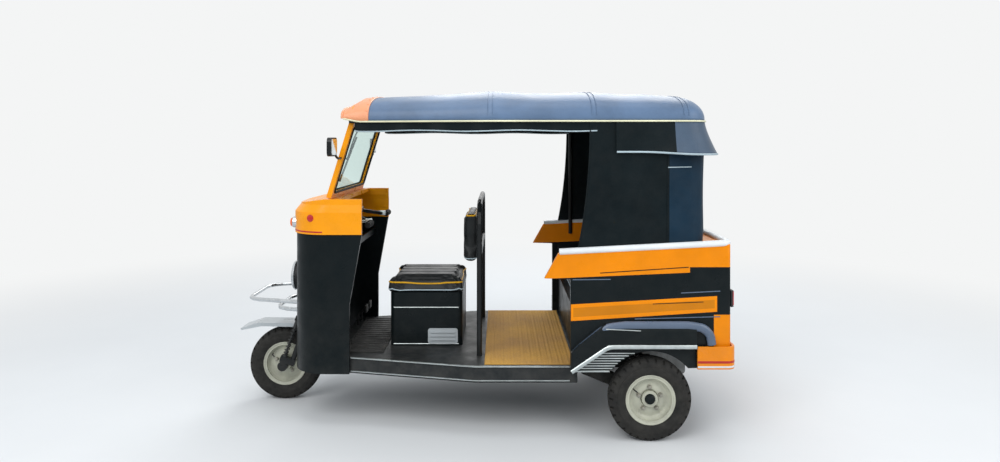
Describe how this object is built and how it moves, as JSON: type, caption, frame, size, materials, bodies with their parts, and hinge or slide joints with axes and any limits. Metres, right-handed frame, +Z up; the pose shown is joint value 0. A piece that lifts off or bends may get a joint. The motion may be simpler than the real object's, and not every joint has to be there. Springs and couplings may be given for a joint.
{
  "type": "auto rickshaw",
  "caption": "Three-wheeled passenger auto rickshaw with a vinyl hood, open sides, handlebar steering, driver's seat, rear bench and rear engine hatch.",
  "frame": {"origin": "on the ground below the middle of the vehicle's box", "axes": "+X forward, +Y to the vehicle's left, +Z up; the wheels stand on z = 0"},
  "size_m": [2.67, 1.3, 1.775],
  "materials": {
    "black_paint": "gloss",
    "orange_paint": "gloss",
    "frame_paint": "satin",
    "silver_paint": "gloss",
    "rim_paint": "satin",
    "floor_mat": "matte",
    "screen_glass": "clear",
    "hood_vinyl": "glossy vinyl",
    "curtain_vinyl": "satin vinyl",
    "window_vinyl": "clear vinyl",
    "seat_vinyl": "satin vinyl",
    "chrome": "polished",
    "bright_metal": "satin",
    "red_lens": "gloss",
    "amber_lens": "gloss",
    "black_plastic": "matte",
    "engine_metal": "rough",
    "bare_steel": "satin",
    "tyre_rubber": "matte"
  },
  "bodies": {
    "chassis": {"floor_pan": "black_paint", "floor_mat": "floor_mat", "underframe": "frame_paint", "front_cowl": "black_paint", "cowl_band": "orange_paint", "dash_shelf": "black_paint", "steering_head": "frame_paint", "windscreen_frame": "orange_paint", "windscreen_glass": "screen_glass", "roof_frame": "frame_paint", "hood_roof": "hood_vinyl", "hood_curtains": "curtain_vinyl", "rear_window": "window_vinyl", "rear_side_left": "black_paint", "rear_side_right": "black_paint", "fender_trims": "silver_paint", "rear_panel": "black_paint", "tail_lamps": "red_lens", "rear_bumper": "orange_paint", "seat_base": "black_paint", "passenger_cushion": "seat_vinyl", "passenger_backrest": "seat_vinyl", "driver_seat_box": "black_paint", "seat_box_vent": "bright_metal", "driver_cushion": "seat_vinyl", "driver_backrest": "seat_vinyl", "driver_hoop": "frame_paint", "headlamp": "chrome", "front_indicators": "amber_lens", "front_guard": "chrome", "mirrors": "black_plastic", "engine_block": "engine_metal", "silencer": "engine_metal", "rear_arms": "frame_paint", "drive_shafts": "bare_steel", "rear_springs": "frame_paint"},
    "steering": {"steering_fork": "frame_paint", "front_dampers": "bare_steel", "front_mudguard": "silver_paint", "handlebar": "black_plastic"},
    "front_wheel": {"front_rim": "rim_paint", "front_tyre": "tyre_rubber"},
    "rear_left_wheel": {"rear_left_rim": "rim_paint", "rear_left_tyre": "tyre_rubber"},
    "rear_right_wheel": {"rear_right_rim": "rim_paint", "rear_right_tyre": "tyre_rubber"},
    "hatch": {"engine_hatch": "black_paint"}
  },
  "joints": [
    {"name": "steering_turn", "type": "hinge", "parent": "chassis", "child": "steering", "pos_m": [1.115, 0, 0], "axis": [-0.342, 0, 0.9397], "range_deg": [-38, 38]},
    {"name": "front_wheel_spin", "type": "hinge", "parent": "steering", "child": "front_wheel", "pos_m": [1.085, 0, 0.2075], "axis": [0, 1, 0], "continuous": true},
    {"name": "rear_left_wheel_spin", "type": "hinge", "parent": "chassis", "child": "rear_left_wheel", "pos_m": [-0.915, 0.575, 0.2075], "axis": [0, 1, 0], "continuous": true},
    {"name": "rear_right_wheel_spin", "type": "hinge", "parent": "chassis", "child": "rear_right_wheel", "pos_m": [-0.915, -0.575, 0.2075], "axis": [0, 1, 0], "continuous": true},
    {"name": "engine_hatch_turn", "type": "hinge", "parent": "chassis", "child": "hatch", "pos_m": [-1.325, 0, 0.866], "axis": [0, 1, 0], "range_deg": [0, 70]}
  ]
}
